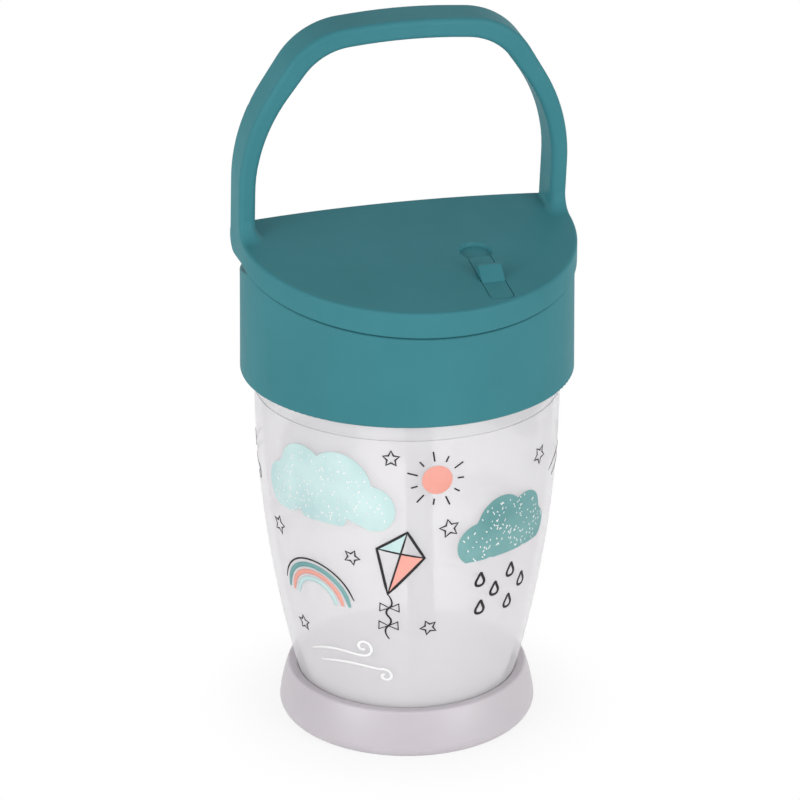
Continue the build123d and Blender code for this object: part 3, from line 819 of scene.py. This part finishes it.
def stroke(points, width, color, turn, height, closed=False, smooth=True):
    """A pen stroke through (across, up) points in millimetres, thinner at its ends."""
    line = bpy.data.curves.new("stroke", "CURVE")
    line.dimensions = "3D"
    spline = line.splines.new("NURBS" if smooth else "POLY")
    spline.points.add(len(points) - 1)
    for k, (across, up) in enumerate(points):
        spline.points[k].co = (across * MM, 0, up * MM, 1)
        at_end = not closed and k in (0, len(points) - 1)
        spline.points[k].radius = STROKE_TIP if at_end else 1.0
    spline.use_cyclic_u = closed
    spline.use_endpoint_u = not closed
    spline.order_u = STROKE_ORDER
    line.resolution_u = STROKE_STEPS
    line.bevel_depth = width / 2 * MM
    line.bevel_resolution = 1
    line.use_fill_caps = not closed
    drawn = bpy.data.objects.new("stroke", line)
    bpy.context.scene.collection.objects.link(drawn)
    pick(drawn)
    bpy.ops.object.convert(target="MESH")
    drawn.scale.y = STROKE_FLATNESS / (width / 2)
    drawn.location.y = -STROKE_FACE * MM
    keep(drawn, color, turn, height)


print("pens are", PEN, "and", THIN_PEN, "mm wide")

# %% [markdown]
# The sun is a filled disc with pen strokes round it, long and short by turns.

# %% Sun
DISC_POINTS = 36
SUN_R = 3.9
SUN_RAYS = 11
SUN_RAY_FROM = 1.3
SUN_RAY_TO = (3.0, 4.0)


def sun(turn, height):
    disc = [on_circle(SUN_R, TURN * k / DISC_POINTS) for k in range(DISC_POINTS)]
    filled_shape(disc, "salmon", turn, height)
    for k in range(SUN_RAYS):
        ends = (SUN_R + SUN_RAY_FROM, SUN_R + SUN_RAY_TO[k % 2])
        ray = [on_circle(reach, TURN * k / SUN_RAYS) for reach in ends]
        stroke(ray, PEN, "black", turn, height)


print("the sun has", SUN_RAYS, "rays")

# %% [markdown]
# A rainbow is three broad strokes and a thin one outside them, all arcs round one middle. A filled shape
# would do for a band too, but a stroke has the rounded, tapering ends of a felt pen.

# %% Rainbow
RAINBOW_BANDS = ((10.4, "teal"), (8.4, "salmon"), (6.4, "aqua"))
RAINBOW_PEN = 1.5
RAINBOW_ARC = {"start": 176, "end": 4, "count": 15}
EDGE_R = 12.1
EDGE_ARC = {"start": 166, "end": 14, "count": 13}


def arc(radius, start, end, count):
    """Points on part of a circle round the middle, between two angles in degrees."""
    return [on_circle(radius, math.radians(start + (end - start) * k / (count - 1))) for k in range(count)]


def rainbow(turn, height):
    for radius, color in RAINBOW_BANDS:
        stroke(arc(radius, **RAINBOW_ARC), RAINBOW_PEN, color, turn, height)
    stroke(arc(EDGE_R, **EDGE_ARC), THIN_PEN, "black", turn, height)


print("the rainbow is", 2 * EDGE_R, "mm wide")

# %% [markdown]
# A kite is two filled triangles, a frame, two spars, a wavy tail and two bows on it. A straight edge
# would cut through the round wall between its ends, so it gets points in between, which wrap with it.

# %% Kite
EDGE_PARTS = 5
KITE_TOP, KITE_RIGHT, KITE_BOTTOM, KITE_LEFT = (2.0, 9.5), (6.3, 2.0), (-3.1, -8.8), (-5.8, 4.5)
KITE_MIDDLE = (0.2, 3.3)
KITE_TAIL = [KITE_BOTTOM, (-1.2, -11.5), (-4.2, -14.2), (-1.6, -17.0), (-4.6, -20.0), (-2.8, -22.5)]
BOWS = ((-2.7, -12.9), (-3.0, -18.4))
BOW_WING = ((0, 0), (2.4, 1.3), (2.5, -1.1), (0, 0))


def subdivided(corners, closed=True):
    """The corners of an outline with points between them."""
    points = []
    for here, there in zip(corners, corners[1:] + corners[:1] * closed):
        for k in range(EDGE_PARTS):
            points.append(tuple(Vector(here).lerp(Vector(there), k / EDGE_PARTS)))
    return points if closed else points + [tuple(Vector(corners[-1]))]


def kite(turn, height):
    filled_shape(subdivided([KITE_TOP, KITE_LEFT, KITE_MIDDLE]), "aqua", turn, height)
    filled_shape(subdivided([KITE_MIDDLE, KITE_BOTTOM, KITE_RIGHT]), "salmon", turn, height)
    edges = subdivided([KITE_TOP, KITE_RIGHT, KITE_BOTTOM, KITE_LEFT])
    stroke(edges, PEN, "black", turn, height, closed=True, smooth=False)
    for spar in ([KITE_LEFT, KITE_RIGHT], [KITE_TOP, KITE_BOTTOM]):
        stroke(subdivided(spar, closed=False), THIN_PEN, "black", turn, height, smooth=False)
    stroke(KITE_TAIL, THIN_PEN, "black", turn, height)
    for across, up in BOWS:
        for side in (-1, 1):
            wing = [(across + side * out, up + rise) for out, rise in BOW_WING]
            stroke(wing, THIN_PEN, "black", turn, height, smooth=False)


print("the kite is", round(KITE_TOP[1] - KITE_BOTTOM[1], 1), "mm high without its tail")

# %% [markdown]
# A star's corners lie on two circles by turns. A raindrop is one closed smooth stroke through seven
# points, narrow above and round below.

# %% Stars and raindrops
STAR_POINTS = 5
STAR_RADII = (2.2, 2.6)
STAR_WAIST = 0.48
STAR_LEAN = 12
DROP = [(0, 2.5), (-0.6, 1.1), (-1.4, -0.4), (-0.9, -1.6), (0.9, -1.6), (1.4, -0.4), (0.6, 1.1)]


def star(turn, height, radius, lean):
    points = []
    for k in range(2 * STAR_POINTS):
        reach = radius if k % 2 == 0 else radius * STAR_WAIST
        points.append(on_circle(reach, math.radians(90 + lean) + TURN * k / (2 * STAR_POINTS)))
    stroke(points, THIN_PEN, "black", turn, height, closed=True, smooth=False)


def drop(across, up, turn, height):
    outline = [(across + out, up + rise) for out, rise in DROP]
    stroke(outline, PEN, "black", turn, height, closed=True)


print("stars are", [2 * radius for radius in STAR_RADII], "mm across")

# %% [markdown]
# Wind is two long strokes, one over the other, that each end in a curl: a spiral whose radius shrinks
# evenly while it turns.

# %% Wind
UPPER_WIND = [(-13, -3), (-9, -1.2), (-4, -0.2), (1, -0.6)]
LOWER_WIND = [(-10, -5.5), (-5, -4.0), (1, -3.6), (6, -4.2)]
CURL_SHRINK = 0.85
CURL_POINTS = 16


def curl(across, up, radius, turns, start):
    """Points on a spiral that winds in to its middle."""
    points = []
    for k in range(CURL_POINTS):
        share = k / (CURL_POINTS - 1)
        angle = math.radians(start) + turns * TURN * share
        x, z = on_circle(radius * (1 - CURL_SHRINK * share), angle)
        points.append((across + x, up + z))
    return points


def wind(color, width, turn, height):
    upper_curl = curl(across=3.6, up=2.0, radius=2.9, turns=1.2, start=-110)
    lower_curl = curl(across=8.6, up=-6.4, radius=2.3, turns=-1.1, start=120)
    stroke(UPPER_WIND + upper_curl, width, color, turn, height)
    stroke(LOWER_WIND + lower_curl, width, color, turn, height)


print("a wind stroke has", len(UPPER_WIND) + CURL_POINTS, "points")

# %% [markdown]
# The motifs are spread so that some of each kind show from any side. The same half of the pattern is
# printed twice, in front and at the back.

# %% The pattern
WHITE_PEN = 0.95
STARS = [(-22, 87), (0, 67), (-7, 38), (43, 80), (-38, 58), (-76, 60), (-68, 33)]
DROPS = [(-8, 0), (-3, -4), (2, 0), (7, -4.5), (-7, -8.5), (2.5, -9.5)]


def half_of_the_pattern(start):
    cloud(BIG_CLOUD, BIG_BASE, flakes=150, color="aqua", turn=start - 50, height=74)
    cloud(SMALL_CLOUD, SMALL_BASE, flakes=130, color="teal", turn=start + 27, height=62)
    sun(turn=start - 5, height=81)
    rainbow(turn=start - 57, height=42)
    kite(turn=start - 19, height=57)
    for across, up in DROPS:
        drop(across, up, turn=start + 27, height=50)
    wind("white", WHITE_PEN, turn=start - 42, height=29)
    wind("black", THIN_PEN, turn=start + 72, height=76)
    for k, (around, up) in enumerate(STARS):
        star(start + around, up, STAR_RADII[k % 2], STAR_LEAN * k)


for start in (0, 180):
    half_of_the_pattern(start)
print({color: len(motifs) for color, motifs in printed.items()})

# %% [markdown]
# A printer uses one screen for each ink. Here too all motifs of one ink are joined into one piece, which
# rides on the cup, so that it moves with it.

# %% One piece for each ink
for color, motifs in printed.items():
    deselect_all()
    for motif in motifs:
        motif.select_set(True)
    bpy.context.view_layer.objects.active = motifs[0]
    bpy.ops.object.join()
    layer = bpy.context.object
    layer.name = "print_" + color
    layer.data.materials.clear()
    layer.data.materials.append(inks[color])
    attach(layer, "cup")
    print(layer.name, "has", len(layer.data.polygons), "faces")

# %% [markdown]
# The picture has a pure white ground. A floor that is only white would either look grey or need so much
# light that the cup burns out. So floor and room are white by themselves, but only for rays that the
# camera, a mirror or a glass sends. The Light Path node tells which ray is asking.

# %% Rays that see the background


def combine(tree, operation, first, second):
    """A Math node that joins two values."""
    node = tree.nodes.new("ShaderNodeMath")
    node.operation = operation
    tree.links.new(first, node.inputs[0])
    tree.links.new(second, node.inputs[1])
    return node.outputs["Value"]


def mix_surface(tree, share, below, above, output):
    """Shows one shader where the share is 0 and the other where it is 1."""
    mix = tree.nodes.new("ShaderNodeMixShader")
    tree.links.new(share, mix.inputs["Fac"])
    tree.links.new(below, mix.inputs[1])
    tree.links.new(above, mix.inputs[2])
    tree.links.new(mix.outputs["Shader"], tree.nodes[output].inputs["Surface"])


def seen_rays(tree):
    """1 for rays that show the background: camera, glossy and transmission rays."""
    path = tree.nodes.new("ShaderNodeLightPath")
    mirrored = combine(tree, "MAXIMUM", path.outputs["Is Camera Ray"], path.outputs["Is Glossy Ray"])
    return combine(tree, "MAXIMUM", mirrored, path.outputs["Is Transmission Ray"])


print("the background is white for camera, glossy and transmission rays")

# %% [markdown]
# Close to the cup's foot the floor glows a little less, and there its own shading takes part, which keeps
# the soft contact shadow. This also paints a soft shade on the floor round the foot where no shadow falls,
# which fades out between GLOW_FROM and GLOW_TO. The floor lies a hair below the foot, so that the two
# faces don't flicker.

# %% Floor
FLOOR_SIZE = 8.0
FLOOR_GAP = 0.05
FLOOR_GREYS = ((0.875,) * 3, (0.885,) * 3)
FLOOR_NOISE_SCALE = 3
FLOOR_ROUGHNESS = 0.9
# The lower glow near the foot paints a soft shade on the floor round it.
FLOOR_GLOW = (0.82, 1.0)
GLOW_FROM = 26 * MM
GLOW_TO = 60 * MM


def glow_round_foot(tree):
    """The glow's share: weaker close to the cup's foot, where its shadow falls, which also paints a soft
    shade round the foot.
    """
    place = tree.nodes.new("ShaderNodeTexCoord")
    distance = tree.nodes.new("ShaderNodeVectorMath")
    distance.operation = "LENGTH"
    tree.links.new(place.outputs["Object"], distance.inputs[0])
    fade = tree.nodes.new("ShaderNodeMapRange")
    fade.interpolation_type = "SMOOTHSTEP"
    fade.inputs["From Min"].default_value = GLOW_FROM
    fade.inputs["From Max"].default_value = GLOW_TO
    fade.inputs["To Min"].default_value = FLOOR_GLOW[0]
    fade.inputs["To Max"].default_value = FLOOR_GLOW[1]
    tree.links.new(distance.outputs["Value"], fade.inputs["Value"])
    return fade.outputs["Result"]


def floor_paint():
    material, tree, shader = start_material("floor_paint")
    shader.inputs["Roughness"].default_value = FLOOR_ROUGHNESS
    vary_color(tree, shader, add_noise(tree, FLOOR_NOISE_SCALE), *FLOOR_GREYS)
    glow = tree.nodes.new("ShaderNodeEmission")
    share = combine(tree, "MULTIPLY", seen_rays(tree), glow_round_foot(tree))
    mix_surface(tree, share, shader.outputs["BSDF"], glow.outputs["Emission"], "Material Output")
    return material


deselect_all()
bpy.ops.mesh.primitive_plane_add(size=FLOOR_SIZE, location=(0, 0, -FLOOR_GAP * MM))
floor = bpy.context.object
floor.name = "floor"
floor.data.materials.append(floor_paint())
print("floor", FLOOR_SIZE, "m square")

# %% [markdown]
# The light is two large soft boxes at the camera's sides and an evenly grey room, which looks white to
# the same rays as the floor does. The boxes stand low, so the upright walls get more of their light than
# the top plate, and the round walls shade off gently between them.

# %% Lights
ROOM_COLOR = (0.51, 0.51, 0.51)


def light_room():
    world = bpy.data.worlds.new("room")
    bpy.context.scene.world = world
    world.use_nodes = True
    tree = world.node_tree
    room = tree.nodes["Background"]
    room.inputs["Color"].default_value = (*ROOM_COLOR, 1)
    white = tree.nodes.new("ShaderNodeBackground")
    white.inputs["Color"].default_value = (1, 1, 1, 1)
    mix_surface(tree, seen_rays(tree), room.outputs["Background"], white.outputs["Background"],
                "World Output")


def soft_box(name, turn, pitch, distance, size, watts):
    """A square area lamp round the cup, aimed at its middle."""
    data = bpy.data.lights.new(name, "AREA")
    data.size = size
    data.energy = watts
    lamp = bpy.data.objects.new(name, data)
    bpy.context.scene.collection.objects.link(lamp)
    out = toward_camera(math.radians(turn), math.radians(pitch))
    lamp.location = CAMERA_TARGET + out * distance
    lamp.rotation_euler = out.to_track_quat("Z", "Y").to_euler()
    print(name, "of", watts, "W at", [round(v, 2) for v in lamp.location])


light_room()
soft_box("left_box", turn=-64, pitch=11, distance=1.2, size=0.7, watts=7.4)
soft_box("right_box", turn=34, pitch=11, distance=1.2, size=0.6, watts=6.7)
